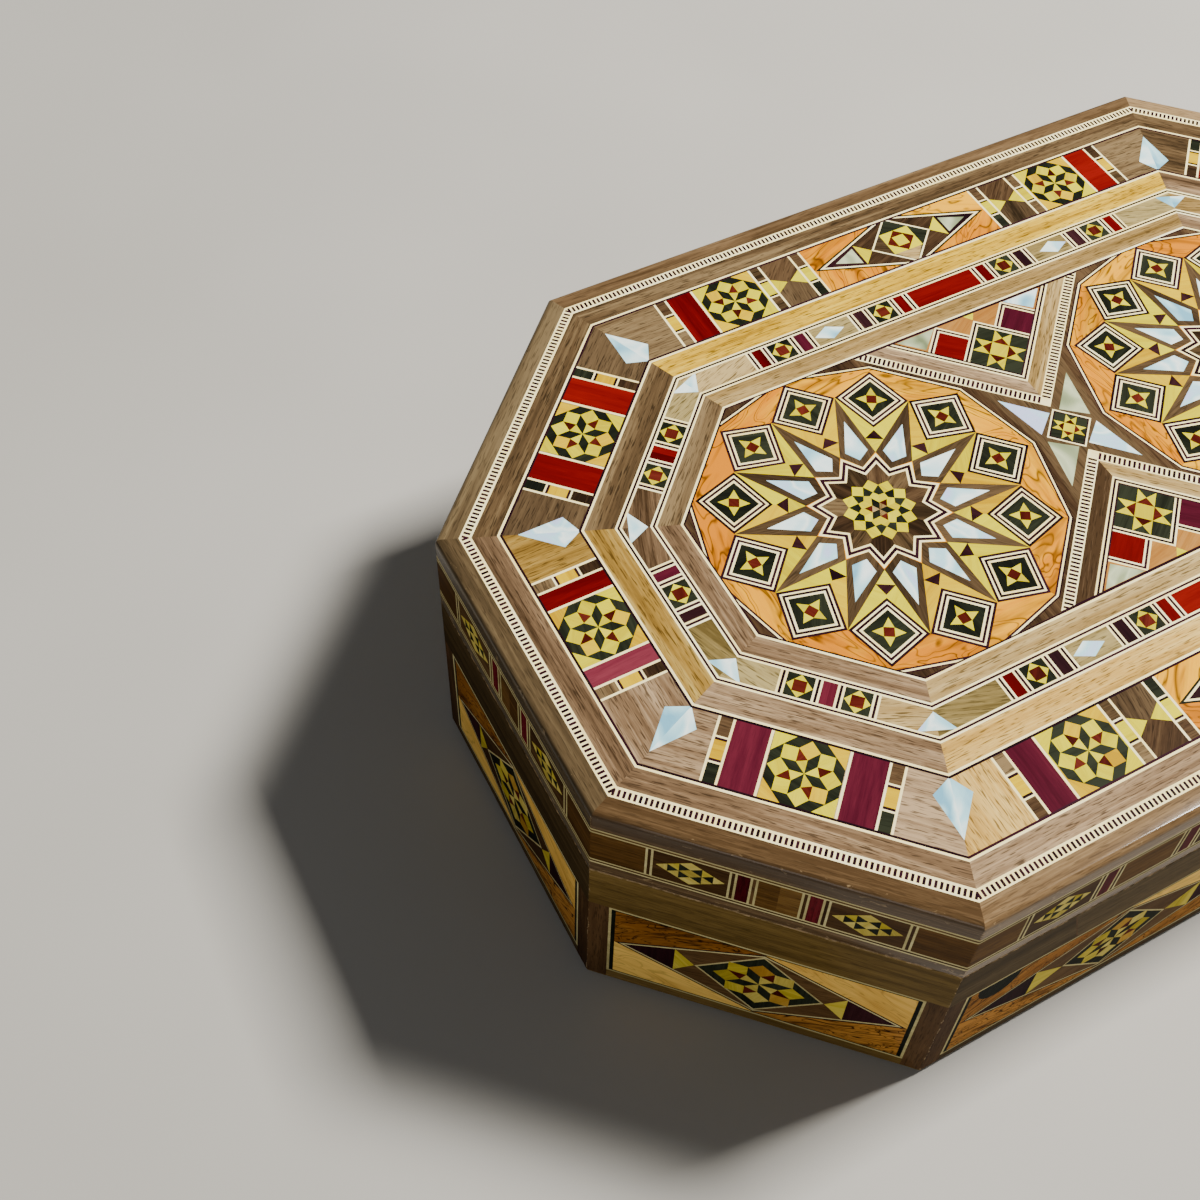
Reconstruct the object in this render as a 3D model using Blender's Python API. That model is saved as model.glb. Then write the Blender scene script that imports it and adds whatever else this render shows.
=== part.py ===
"""Mosaic box: an eight-sided wooden box with a lift-off lid, inlaid with small wood and shell tiles.

X runs along the box, Y to the back, Z up. The origin is under the middle of the box, on its underside.
Sizes are in metres.
"""

import math

import bmesh
import bpy
from mathutils import Vector

# Overall size
LENGTH = 0.300
WIDTH = 0.190
HEIGHT = 0.080
# How far each corner is cut back along X and along Y
CORNER_CUT = 0.0567
LID_HEIGHT = 0.0245

# Clearance between pieces that touch
GAP = 0.0003
# Room around the locating lip, so that the lid lifts off
LIP_CLEARANCE = 0.0004

# Thickness of the boards
LID_WALL = 0.0050
LIP_THICKNESS = 0.0021
LIP_HEIGHT = 0.0040
BASE_BOARD = 0.0060
LID_BOARD = 0.0050
# Thickness of the inlaid plates, which lie flush with the wood around them
PLATE = 0.0012

# Rounded and eased edges of the boards
TOP_ROUND = 0.0015
BOTTOM_ROUND = 0.0022
RIM_EASE = 0.0005
ROUND_STEPS = 6

# Panels of the body: frame of plain walnut left around them
PANEL_HEIGHT = 0.0340
BOTTOM_RAIL = 0.0055
STILE = 0.0048

# Inlaid band around the lid's side
LID_BAND_HEIGHT = 0.0150
LID_BAND_DROP = 0.0057

# Widths of the bands on the top, from the walnut edging inwards
DENTIL_BAND = 0.00265
OUTER_WALNUT = 0.0053
OUTER_MOSAIC = 0.0182
MIDDLE_WALNUT = 0.0065
INNER_MOSAIC = 0.0090
INNER_WALNUT = 0.0059

# Middle of the top: from its centre to the tip of each side panel, and the waist of the panel between the stars
NOTCH_TIP = 0.0075
WAIST = 0.0097
WAIST_FLARE = 0.0128

# Worked out from the sizes above
SIDE_NAMES = ("front_right", "end_right", "back_right", "back", "back_left", "end_left", "front_left", "front")
HALF_TURN = math.radians(360 / len(SIDE_NAMES) / 2)
BODY_WALL = LID_WALL + LIP_CLEARANCE + LIP_THICKNESS
RIM = HEIGHT - LID_HEIGHT - GAP
LID_BASE = RIM + GAP
PLATE_BED = HEIGHT - PLATE - GAP
RECESS = PLATE + GAP
DENTIL_START = LID_WALL
OUTER_WALNUT_START = DENTIL_START + DENTIL_BAND
OUTER_MOSAIC_START = OUTER_WALNUT_START + OUTER_WALNUT
MIDDLE_WALNUT_START = OUTER_MOSAIC_START + OUTER_MOSAIC
INNER_MOSAIC_START = MIDDLE_WALNUT_START + MIDDLE_WALNUT
INNER_WALNUT_START = INNER_MOSAIC_START + INNER_MOSAIC
FIELD_START = INNER_WALNUT_START + INNER_WALNUT

# Colours of the woods: base colour, roughness
FINISHES = {
    "walnut": ((0.160, 0.085, 0.042), 0.34),
    "light_walnut": ((0.300, 0.185, 0.085), 0.34),
    "inside_walnut": ((0.130, 0.075, 0.040), 0.55),
    "marquetry": ((0.330, 0.150, 0.060), 0.30),
    "dentil": ((0.620, 0.540, 0.360), 0.32),
    "olive_wood": ((0.560, 0.260, 0.070), 0.30),
}


def clear_scene():
    for thing in list(bpy.data.objects):
        bpy.data.objects.remove(thing, do_unlink=True)


def make_collection(name):
    collection = bpy.data.collections.new(name)
    bpy.context.scene.collection.children.link(collection)
    return collection


def wood(name, finish):
    """A material of its own for one piece."""
    colour, roughness = FINISHES[finish]
    material = bpy.data.materials.new(name + "_finish")
    material.use_nodes = True
    shader = material.node_tree.nodes["Principled BSDF"]
    shader.inputs["Base Color"].default_value = (*colour, 1.0)
    shader.inputs["Roughness"].default_value = roughness
    shader.inputs["Metallic"].default_value = 0.0
    return material


def ring(inset):
    """The eight corners of the plan, moved inwards by inset, counter-clockwise from the front's right end."""
    half_x = LENGTH / 2 - inset
    half_y = WIDTH / 2 - inset
    cut = CORNER_CUT - inset * (2 - math.sqrt(2))
    return [
        Vector((half_x - cut, -half_y)),
        Vector((half_x, -half_y + cut)),
        Vector((half_x, half_y - cut)),
        Vector((half_x - cut, half_y)),
        Vector((-half_x + cut, half_y)),
        Vector((-half_x, half_y - cut)),
        Vector((-half_x, -half_y + cut)),
        Vector((-half_x + cut, -half_y)),
    ]


def side_ends(side, inset):
    """Both ends of one side at an inset, each drawn back from the mitre by half the clearance."""
    corners = ring(inset)
    start = corners[side]
    end = corners[(side + 1) % len(corners)]
    along = (end - start).normalized()
    back = along * (GAP / 2 / math.cos(HALF_TURN))
    return start + back, end - back


def add_object(name, mesh, finish, collection):
    piece = bpy.data.objects.new(name, mesh)
    mesh.materials.append(wood(name, finish))
    collection.objects.link(piece)
    return piece


def mitred_board(name, side, section, finish, collection):
    """A board along one side, mitred at both ends; its section is a loop of (inset, height) points."""
    shape = bmesh.new()
    first = [shape.verts.new((*side_ends(side, inset)[0], height)) for inset, height in section]
    cap = shape.faces.new(first)
    swept = bmesh.ops.extrude_face_region(shape, geom=[cap])["geom"]
    moved = [item for item in swept if isinstance(item, bmesh.types.BMVert)]
    for vertex, (inset, height) in zip(moved, section):
        vertex.co = (*side_ends(side, inset)[1], height)
    bmesh.ops.recalc_face_normals(shape, faces=shape.faces)
    mesh = bpy.data.meshes.new(name)
    shape.to_mesh(mesh)
    shape.free()
    return add_object(name, mesh, finish, collection)


def quarter_round(centre, radius, start_angle):
    """Points of a quarter circle, counter-clockwise from start_angle."""
    points = []
    for step in range(ROUND_STEPS + 1):
        angle = start_angle + math.pi / 2 * step / ROUND_STEPS
        points.append((centre[0] + radius * math.cos(angle), centre[1] + radius * math.sin(angle)))
    return points


def body_section():
    """Wall of the body: rounded foot, eased rim, and inside it the lip that locates the lid."""
    lip_face = LID_WALL + LIP_CLEARANCE
    section = quarter_round((BOTTOM_ROUND, BOTTOM_ROUND), BOTTOM_ROUND, math.pi)
    section += [(BODY_WALL, 0.0), (BODY_WALL, RIM + LIP_HEIGHT), (lip_face, RIM + LIP_HEIGHT), (lip_face, RIM)]
    section += [(RIM_EASE, RIM), (0.0, RIM - RIM_EASE)]
    return section


def lid_band_edges():
    top = HEIGHT - LID_BAND_DROP
    return top - LID_BAND_HEIGHT, top


def lid_section():
    """Wall of the lid: eased lower edge, groove for the inlaid band, rounded top edge."""
    low, high = lid_band_edges()
    section = [(RIM_EASE, LID_BASE), (LID_WALL, LID_BASE), (LID_WALL, HEIGHT)]
    section += quarter_round((TOP_ROUND, HEIGHT - TOP_ROUND), TOP_ROUND, math.pi / 2)
    section += [(0.0, high + GAP), (RECESS, high + GAP), (RECESS, low - GAP), (0.0, low - GAP)]
    section += [(0.0, LID_BASE + RIM_EASE)]
    return section


def band_section():
    low, high = lid_band_edges()
    return [(0.0, low), (PLATE, low), (PLATE, high), (0.0, high)]


def side_frame(side):
    """Middle of one side's outer face, its length, and the turn that lays X along it."""
    corners = ring(0.0)
    start = corners[side]
    end = corners[(side + 1) % len(corners)]
    along = end - start
    return (start + end) / 2, along.length, math.atan2(along.y, along.x)


def block_on_side(name, side, width, height, inset, depth, middle_height):
    """A block standing on one side's face: width along it, depth inwards from the inset."""
    middle, _, turn = side_frame(side)
    inward = Vector((-math.sin(turn), math.cos(turn)))
    centre = middle + inward * (inset + depth / 2)
    bpy.ops.mesh.primitive_cube_add(size=1.0, location=(*centre, middle_height), rotation=(0, 0, turn))
    block = bpy.context.object
    block.name = name
    block.scale = (width, depth, height)
    bpy.ops.object.transform_apply(location=False, rotation=False, scale=True)
    return block


def move_to(thing, collection):
    for owner in list(thing.users_collection):
        owner.objects.unlink(thing)
    collection.objects.link(thing)


def build_body_side(side, parts, cutters):
    """One wall of the body with its recess, and the inlaid panel that fills the recess."""
    name = SIDE_NAMES[side]
    wall = mitred_board("body_wall_" + name, side, body_section(), "walnut", parts)
    panel_width = side_frame(side)[1] - 2 * STILE
    middle_height = BOTTOM_RAIL + PANEL_HEIGHT / 2

    # The cutter stands out past the face as far as it goes in
    cutter = block_on_side("recess_" + name, side, panel_width + 2 * GAP, PANEL_HEIGHT + 2 * GAP,
                           -RECESS, 2 * RECESS, middle_height)
    cutter.hide_render = True
    cutter.display_type = "WIRE"
    move_to(cutter, cutters)
    cut = wall.modifiers.new("recess", "BOOLEAN")
    cut.operation = "DIFFERENCE"
    cut.object = cutter

    panel = block_on_side("body_panel_" + name, side, panel_width, PANEL_HEIGHT, 0.0, PLATE, middle_height)
    panel.data.materials.append(wood(panel.name, "marquetry"))
    move_to(panel, parts)


def build_lid_side(side, parts):
    name = SIDE_NAMES[side]
    mitred_board("lid_wall_" + name, side, lid_section(), "walnut", parts)
    mitred_board("lid_band_" + name, side, band_section(), "marquetry", parts)


def flat_plate(name, outlines, base, thickness, finish, collection):
    """A flat piece with the given outlines; a second outline is the edge of its opening."""
    outline = bpy.data.curves.new(name, "CURVE")
    outline.dimensions = "2D"
    outline.fill_mode = "BOTH"
    outline.extrude = thickness / 2
    for points in outlines:
        spline = outline.splines.new("POLY")
        spline.points.add(len(points) - 1)
        for point, (x, y) in zip(spline.points, points):
            point.co = (x, y, 0.0, 1.0)
        spline.use_cyclic_u = True
    outline.materials.append(wood(name, finish))
    plate = bpy.data.objects.new(name, outline)
    plate.location.z = base + thickness / 2
    collection.objects.link(plate)
    return plate


def build_top_ring(name, start, width, finish, parts):
    """One frame of the top, flush with its neighbours."""
    outlines = [ring(start + GAP / 2), ring(start + width - GAP / 2)]
    flat_plate(name, outlines, HEIGHT - PLATE, PLATE, finish, parts)


def build_outer_mosaic(parts):
    """The wide band of tile pictures, one mitred plate to a side."""
    for side, name in enumerate(SIDE_NAMES):
        outer = side_ends(side, OUTER_MOSAIC_START + GAP / 2)
        inner = side_ends(side, OUTER_MOSAIC_START + OUTER_MOSAIC - GAP / 2)
        outline = [outer[0], outer[1], inner[1], inner[0]]
        flat_plate("top_mosaic_" + name, [outline], HEIGHT - PLATE, PLATE, "marquetry", parts)


def shrink(outline, distance):
    """A counter-clockwise outline with every edge moved inwards by distance."""
    moved = []
    count = len(outline)
    for index in range(count):
        before = (outline[index] - outline[index - 1]).normalized()
        after = (outline[(index + 1) % count] - outline[index]).normalized()
        inward_before = Vector((-before.y, before.x))
        inward_after = Vector((-after.y, after.x))
        middle = (inward_before + inward_after).normalized()
        moved.append(outline[index] + middle * (distance / middle.dot(inward_before)))
    return moved


def mirror_outline(outline, flip_x, flip_y):
    """The outline mirrored along X, Y or both, kept counter-clockwise."""
    flipped = [Vector((-p.x if flip_x else p.x, -p.y if flip_y else p.y)) for p in outline]
    return flipped[::-1] if flip_x != flip_y else flipped


def build_field(parts):
    """The middle of the top: two star panels, two side panels that cut in as points, and one in between."""
    half_y = WIDTH / 2 - FIELD_START
    base_half = half_y - NOTCH_TIP
    flare_y = NOTCH_TIP + WAIST_FLARE
    corners = ring(FIELD_START)

    star = [Vector((base_half, -half_y)), *corners[0:4], Vector((base_half, half_y)),
            Vector((WAIST_FLARE, flare_y)), Vector((WAIST, 0.0)), Vector((WAIST_FLARE, -flare_y))]
    notch = [Vector((base_half, half_y)), Vector((-base_half, half_y)), Vector((0.0, NOTCH_TIP))]
    between = [Vector((0.0, NOTCH_TIP)), Vector((-WAIST_FLARE, flare_y)), Vector((-WAIST, 0.0)),
               Vector((-WAIST_FLARE, -flare_y)), Vector((0.0, -NOTCH_TIP)), Vector((WAIST_FLARE, -flare_y)),
               Vector((WAIST, 0.0)), Vector((WAIST_FLARE, flare_y))]

    panels = [
        ("star_panel_right", star, "olive_wood"),
        ("star_panel_left", mirror_outline(star, True, False), "olive_wood"),
        ("side_panel_back", notch, "marquetry"),
        ("side_panel_front", mirror_outline(notch, False, True), "marquetry"),
        ("middle_panel", between, "marquetry"),
    ]
    for name, outline, finish in panels:
        flat_plate(name, [shrink(outline, GAP / 2)], HEIGHT - PLATE, PLATE, finish, parts)


def build_boards(parts):
    """The boards that close the body below and carry the inlay of the lid."""
    flat_plate("base_board", [ring(BODY_WALL + GAP)], 0.0, BASE_BOARD, "inside_walnut", parts)
    flat_plate("lid_board", [ring(LID_WALL + GAP)], PLATE_BED - LID_BOARD, LID_BOARD, "inside_walnut", parts)


def build_box():
    clear_scene()
    parts = make_collection("mosaic_box")
    cutters = make_collection("cutters")
    for side in range(len(SIDE_NAMES)):
        build_body_side(side, parts, cutters)
        build_lid_side(side, parts)
    build_boards(parts)
    build_top_ring("dentil_band", DENTIL_START, DENTIL_BAND, "dentil", parts)
    build_top_ring("outer_walnut_band", OUTER_WALNUT_START, OUTER_WALNUT, "walnut", parts)
    build_outer_mosaic(parts)
    build_top_ring("middle_walnut_band", MIDDLE_WALNUT_START, MIDDLE_WALNUT, "light_walnut", parts)
    build_top_ring("inner_mosaic_band", INNER_MOSAIC_START, INNER_MOSAIC, "marquetry", parts)
    build_top_ring("inner_walnut_band", INNER_WALNUT_START, INNER_WALNUT, "walnut", parts)
    build_field(parts)


build_box()
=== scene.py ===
"""Looks of the mosaic box: each strip, tile and shell piece of the inlay is cut and laid flush as geometry of
its own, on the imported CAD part, and gets a wood or shell with its own grain.

X runs along the box, Y to the back, Z up. Patterns are drawn in millimetres, in the plane of their plate.
"""

import math
import random

import bmesh
import bpy
from mathutils import Matrix, Vector


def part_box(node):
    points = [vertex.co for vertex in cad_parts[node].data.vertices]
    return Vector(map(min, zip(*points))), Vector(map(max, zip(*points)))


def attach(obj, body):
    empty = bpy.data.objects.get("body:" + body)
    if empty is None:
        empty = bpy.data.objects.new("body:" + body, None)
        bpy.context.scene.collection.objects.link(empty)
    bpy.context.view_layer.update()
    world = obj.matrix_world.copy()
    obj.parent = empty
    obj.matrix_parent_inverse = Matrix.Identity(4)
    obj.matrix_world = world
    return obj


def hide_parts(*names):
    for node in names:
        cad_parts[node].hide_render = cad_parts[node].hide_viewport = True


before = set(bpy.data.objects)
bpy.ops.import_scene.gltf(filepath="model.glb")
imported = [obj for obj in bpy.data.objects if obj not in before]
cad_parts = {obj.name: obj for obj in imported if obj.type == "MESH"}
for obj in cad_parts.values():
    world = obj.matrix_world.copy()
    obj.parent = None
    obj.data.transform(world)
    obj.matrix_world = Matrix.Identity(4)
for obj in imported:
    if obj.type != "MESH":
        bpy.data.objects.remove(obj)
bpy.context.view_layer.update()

MM = 0.001
chance = random.Random(11)

# Sizes read from the frame, in millimetres
HALF_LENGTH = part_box("lid_wall_end_right")[1].x / MM
HALF_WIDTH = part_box("lid_wall_back")[1].y / MM
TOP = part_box("lid_wall_front")[1].z / MM
LID_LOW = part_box("lid_wall_front")[0].z / MM
PANEL_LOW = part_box("body_panel_front")[0].z / MM
PANEL_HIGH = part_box("body_panel_front")[1].z / MM
BAND_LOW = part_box("lid_band_front")[0].z / MM
BAND_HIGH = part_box("lid_band_front")[1].z / MM
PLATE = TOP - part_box("dentil_band")[0].z / MM
BODY_WALL = HALF_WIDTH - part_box("body_wall_back")[0].y / MM
LID_WALL = HALF_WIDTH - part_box("lid_wall_back")[0].y / MM
LIP_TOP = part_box("body_wall_front")[1].z / MM
STILE = (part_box("body_wall_front")[1].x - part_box("body_panel_front")[1].x) / MM

# Sizes that the boxes of the nodes do not give
CORNER_CUT = 56.7
GAP = 0.3
SEAM = 0.05
RIM = LID_LOW - SEAM
LIP_START = 5.4
TOP_ROUND = 1.5
BOTTOM_ROUND = 2.2
RIM_EASE = 0.4
EASE_STEPS = 3
CORNER_EASE = 0.9
ARC_STEPS = 10
CORNER_STEPS = 3

# The rings of the top, measured inwards from the box's outer face
DENTIL_AT = 5.0
OUTER_WALNUT_AT = 7.65
OUTER_MOSAIC_AT = 12.95
MIDDLE_WALNUT_AT = 31.15
INNER_MOSAIC_AT = 37.65
INNER_WALNUT_AT = 46.65
FIELD_AT = 52.55

# Lines of thin veneer, and the dark teeth between two of them
CREAM = 0.56
DARK = 0.56
DOUBLE = 2 * CREAM + DARK
TOOTH = 0.62
TOOTH_PITCH = 1.17

# The middle of the top: the stars' place, and the outline of the panel between them
STAR_AT = 55.0
NOTCH_TIP = 7.5
WAIST = 9.7
WAIST_FLARE = 12.8

# Marks of making and repair on the front: a slanted joint in the rail, and a black patch in the panel
JOINT_FROM_CORNER = 29.4
JOINT_LEAN = 4.6
JOINT_WIDTH = 0.35
PATCH_FROM_END = 7.6
PATCH_HALF = 5.8
PATCH_DEPTH = 8.0

# How far wear reaches inwards from the walls' faces, from the seam, from the corners and from the foot, and
# the strips along the corners and the rim that are parted from the walls' faces to carry it
WEAR_DEPTH = 4
SEAM_WEAR = 1.1
CORNER_WEAR = 1.5
FOOT_WEAR = 3.0
WORN_STRIP = 1.6
WORN_RIM = 1.2

# The pale edge of the body's panels
PANEL_EDGE = 0.6

SIDES = ("front_right", "end_right", "back_right", "back", "back_left", "end_left", "front_left", "front")
LONG_SIDES = ("front", "back")
END_SIDES = ("end_left", "end_right")
HALF_TURN = 22.5
MITRE = math.tan(math.radians(HALF_TURN))
ROOT = math.sqrt(2)
# Areas and distances below these count as nothing
EPS = 1e-4
MERGE = 1e-3


# Colours and materials

def linear(colour, share=1.0):
    """A colour given as 0 to 255 on screen, as a share of the light values that a shader takes."""
    values = []
    for part in colour:
        part = part / 255
        values.append(share * (part / 12.92 if part <= 0.04045 else ((part + 0.055) / 1.055) ** 2.4))
    return (*values, 1.0)


class Net:
    """A small helper to build a material's node tree."""

    def __init__(self, name):
        self.material = bpy.data.materials.new(name)
        self.material.use_nodes = True
        self.tree = self.material.node_tree
        self.tree.nodes.clear()

    def add(self, kind, **settings):
        made = self.tree.nodes.new("ShaderNode" + kind)
        for key, value in settings.items():
            setattr(made, key, value)
        return made

    def set(self, socket, given):
        """Gives a socket a number or a colour, or links another socket to it."""
        if isinstance(given, (int, float, tuple)):
            socket.default_value = given
        else:
            self.tree.links.new(given, socket)

    def attribute(self, name, output):
        return self.add("Attribute", attribute_name=name).outputs[output]

    def scaled(self, place, scale):
        mapping = self.add("Mapping")
        self.set(mapping.inputs["Scale"], scale)
        self.set(mapping.inputs["Vector"], place)
        return mapping.outputs["Vector"]

    def noise(self, place, stretch=None, detail=3.0, roughness=0.55, distortion=0.0, scale=1.0):
        if stretch:
            place = self.scaled(place, stretch)
        made = self.add("TexNoise")
        self.set(made.inputs["Scale"], scale)
        self.set(made.inputs["Detail"], detail)
        self.set(made.inputs["Roughness"], roughness)
        self.set(made.inputs["Distortion"], distortion)
        self.set(made.inputs["Vector"], place)
        return made.outputs["Fac"]

    def sum(self, value, factor, other):
        """value * factor + other, where each is a number or a socket."""
        made = self.add("Math", operation="MULTIPLY_ADD")
        for socket, given in zip(made.inputs, (value, factor, other)):
            self.set(socket, given)
        return made.outputs[0]

    def ramp(self, value, *stops):
        """Colours along a value, each stop as (place, colour); a colour given as one number is a grey."""
        made = self.add("ValToRGB")
        elements = made.color_ramp.elements
        while len(elements) < len(stops):
            elements.new(0.5)
        for element, (place, colour) in zip(elements, stops):
            element.position = place
            element.color = colour if isinstance(colour, tuple) else (colour, colour, colour, 1.0)
        self.set(made.inputs["Fac"], value)
        return made.outputs["Color"]

    def mix(self, factor, first, second, mode="MIX"):
        """Blends two colours. The Mix node has its colour sockets at 6 and 7, and the blend at output 2."""
        made = self.add("Mix", data_type="RGBA", blend_type=mode)
        for index, given in ((0, factor), (6, first), (7, second)):
            self.set(made.inputs[index], given)
        return made.outputs[2]

    def finish(self, colour, roughness, height, bump, coat, coat_roughness=0.12):
        shader = self.add("BsdfPrincipled")
        output = self.add("OutputMaterial")
        relief = self.add("Bump")
        self.set(relief.inputs["Strength"], bump)
        self.set(relief.inputs["Distance"], 0.1 * MM)
        self.set(relief.inputs["Height"], height)
        for socket, given in (("Base Color", colour), ("Roughness", roughness),
                              ("Normal", relief.outputs["Normal"]), ("Specular IOR Level", 0.0),
                              ("Coat Weight", coat), ("Coat Roughness", coat_roughness)):
            self.set(shader.inputs[socket], given)
        self.set(output.inputs["Surface"], shader.outputs["BSDF"])
        return self.material


def wood(name, dark, middle, light, across=0.9, pores=0.5, tones=0.5, coat=0.5, worn=False,
         from_object=False):
    """A grained wood. Its grain runs along the first grain coordinate, in streaks as wide as across, and
    tones is how much pieces differ."""
    net = Net(name)
    along = 26.0
    if from_object:
        place = net.scaled(net.add("TexCoord").outputs["Object"], (1 / MM, 1 / MM, 1 / MM))
        tone = net.noise(place, (0.008, 0.03, 0.03), 1.0)
    else:
        place = net.attribute("grain", "Vector")
        tone = net.attribute("tone", "Fac")
    streaks = net.noise(place, (1 / along, 1 / across, 1.0), 4.0, 0.62, 0.5)
    broad = net.noise(place, (0.3 / along, 0.16 / across, 1.0), 2.0, 0.5, 0.8)
    fibres = net.noise(place, (0.4, 5.5, 1.0), 2.0, 0.6)
    value = net.sum(streaks, 0.75, net.sum(broad, 0.75, -0.25))
    value = net.sum(fibres, 0.22, net.sum(value, 1.0, -0.11))
    value = net.sum(tone, tones, net.sum(value, 1.0, -0.5 * tones))
    colour = net.ramp(value, (0.22, linear(dark)), (0.5, linear(middle)), (0.78, linear(light)))
    dashes = net.noise(place, (0.28, 3.2, 1.0), 1.0, 0.5)
    pits = net.ramp(dashes, (0.56, 0), (0.67, 1))
    colour = net.mix(net.sum(pits, pores, 0.0), colour, linear(dark, 0.45))
    if worn:
        wear = net.attribute("wear", "Fac")
        patches = net.noise(place, (0.30, 0.55, 1.0), 4.0, 0.7, 0.6)
        amount = net.ramp(net.sum(patches, 2.4, net.sum(wear, 1.6, -2.05)), (0.35, 0), (0.75, 1))
        colour = net.mix(amount, colour, linear((176, 150, 112)))
    roughness = net.sum(streaks, 0.22, 0.30)
    height = net.sum(dashes, -0.6, streaks)
    return net.finish(colour, roughness, height, 0.12, coat)


def veined_wood(name, base, light, vein, strength=0.85, coat=0.5, fine=1.0):
    """Olive wood: warm ground with broad brown bands and a few dark winding lines along the grain."""
    net = Net(name)
    place = net.attribute("grain", "Vector")
    tone = net.attribute("tone", "Fac")
    broad = net.noise(place, (0.05, 0.16, 1.0), 3.0, 0.5, 1.0)
    fibres = net.noise(place, (0.15, 2.2, 1.0), 3.0, 0.6)
    value = net.sum(fibres, 0.40, net.sum(broad, 1.0, -0.22))
    value = net.sum(tone, 0.6, net.sum(value, 1.0, -0.3))
    colour = net.ramp(value, (0.25, linear(base)), (0.75, linear(light)))
    bands = net.noise(place, (0.030 * fine, 0.20 * fine, 1.0), 2.5, 0.5, 1.5)
    shade = net.ramp(bands, (0.50, 0), (0.62, 0.42), (0.70, 0.75))
    colour = net.mix(net.sum(shade, strength, 0.0), colour, linear(vein))
    wander = net.noise(place, (0.040 * fine, 0.125 * fine, 1.0), 2.0, 0.42, 1.1)
    lines = net.ramp(wander, (0.392, 0), (0.406, 1), (0.430, 0), (0.476, 0), (0.488, 0.8), (0.502, 0),
                     (0.566, 0), (0.582, 1), (0.604, 0))
    colour = net.mix(net.sum(lines, strength, 0.0), colour, linear(vein, 0.3))
    roughness = net.sum(fibres, 0.2, 0.3)
    return net.finish(colour, roughness, fibres, 0.08, coat)


def shell(name, deep, body, bright, blush):
    """Mother-of-pearl: milky ground whose tint shifts over the piece, with fine growth lines."""
    net = Net(name)
    place = net.attribute("grain", "Vector")
    tone = net.attribute("tone", "Fac")
    drift = net.noise(place, (0.07, 0.10, 1.0), 1.5, 0.45, 1.2)
    value = net.sum(tone, 0.30, net.sum(drift, 1.25, -0.28))
    colour = net.ramp(value, (0.22, linear(deep)), (0.40, linear(body)), (0.55, linear(bright)),
                      (0.66, linear(body)), (0.80, linear(blush)))
    growth = net.noise(place, (0.25, 1.9, 1.0), 3.0, 0.6, 1.2)
    fine = net.ramp(growth, (0.36, (0.84, 0.88, 0.91, 1)), (0.60, 1))
    colour = net.mix(0.4, colour, net.mix(1.0, colour, fine, "MULTIPLY"))
    roughness = net.sum(growth, 0.14, 0.16)
    return net.finish(colour, roughness, growth, 0.10, 1.0, 0.05)


WOODS = {
    "olive": veined_wood("olive_wood", (206, 124, 2), (238, 172, 10), (100, 52, 2)),
    "blond": veined_wood("blond_wood", (206, 160, 74), (238, 196, 102), (140, 90, 32), strength=0.35,
                         coat=0.08),
    # The olive of the walls: darker than the top's with painted shade of the upright walls, and with finer,
    # stronger veins.
    "side_olive": veined_wood("side_olive_wood", (128, 80, 28), (176, 122, 54), (52, 26, 9), strength=1.1,
                              coat=0.06, fine=1.9),
    "shell": shell("shell_pearl", (118, 178, 206), (176, 226, 240), (238, 255, 255), (190, 204, 244)),
    "green_shell": shell("green_shell_pearl", (112, 124, 92), (150, 162, 126), (192, 202, 166),
                         (164, 154, 112)),
}


def add_woods(woods, **settings):
    """Makes woods that share their settings, each from its dark, middle and light tone."""
    for kind, tones in woods.items():
        WOODS[kind] = wood(kind + "_wood", *tones, **settings)


add_woods({"walnut": ((62, 46, 30), (118, 95, 71), (172, 147, 116))}, pores=0.75)
add_woods({
    "brown_walnut": ((44, 33, 20), (86, 68, 46), (126, 106, 76)),
    "umber": ((38, 29, 18), (70, 55, 38), (98, 80, 57)),
}, pores=0.7)
add_woods({
    "brown_gold": ((92, 66, 22), (145, 114, 52), (180, 154, 84)),
    "tan": ((98, 76, 38), (150, 123, 74), (184, 160, 110)),
    "drab": ((90, 76, 40), (132, 115, 70), (162, 146, 98)),
    "fawn": ((128, 96, 42), (192, 153, 78), (222, 190, 116)),
}, pores=0.8)
add_woods({"golden": ((128, 90, 14), (198, 158, 40), (232, 198, 70))}, pores=0.85)
add_woods({"deep_walnut": ((32, 22, 13), (62, 45, 30), (92, 72, 50))})
add_woods({"walnut_edge": ((46, 35, 23), (68, 53, 36), (90, 72, 50))}, across=0.6)
add_woods({"peach": ((138, 87, 37), (160, 110, 51), (178, 130, 69))}, pores=0.15)
add_woods({"cream": ((250, 228, 156), (255, 241, 182), (255, 250, 208))}, pores=0.05, tones=0.2)
add_woods({"grey_line": ((158, 148, 100), (188, 176, 124), (208, 198, 148))}, pores=0.1, tones=0.3, coat=0.1)
add_woods({"red": ((82, 6, 5), (102, 9, 8), (120, 15, 11))}, pores=0.12, across=1.8, tones=0.3)
add_woods({"crimson": ((54, 2, 3), (82, 3, 4), (106, 8, 6))}, pores=0.15, across=2.0, tones=0.3)
add_woods({"maroon": ((52, 9, 22), (71, 16, 33), (92, 28, 44))}, pores=0.15, across=1.8, tones=0.3)
add_woods({"wine": ((79, 20, 35), (101, 33, 49), (120, 50, 64))}, pores=0.2, across=1.8)
# The lid's walls: the second walnut is a darker copy of the first, with painted shade, for the walls at the
# left end and back left.
add_woods({
    "lid_walnut": ((72, 54, 34), (108, 86, 60), (144, 120, 88)),
    "lid_brown": ((50, 41, 27), (80, 66, 46), (110, 94, 68)),
}, worn=True, coat=0.4)
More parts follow.
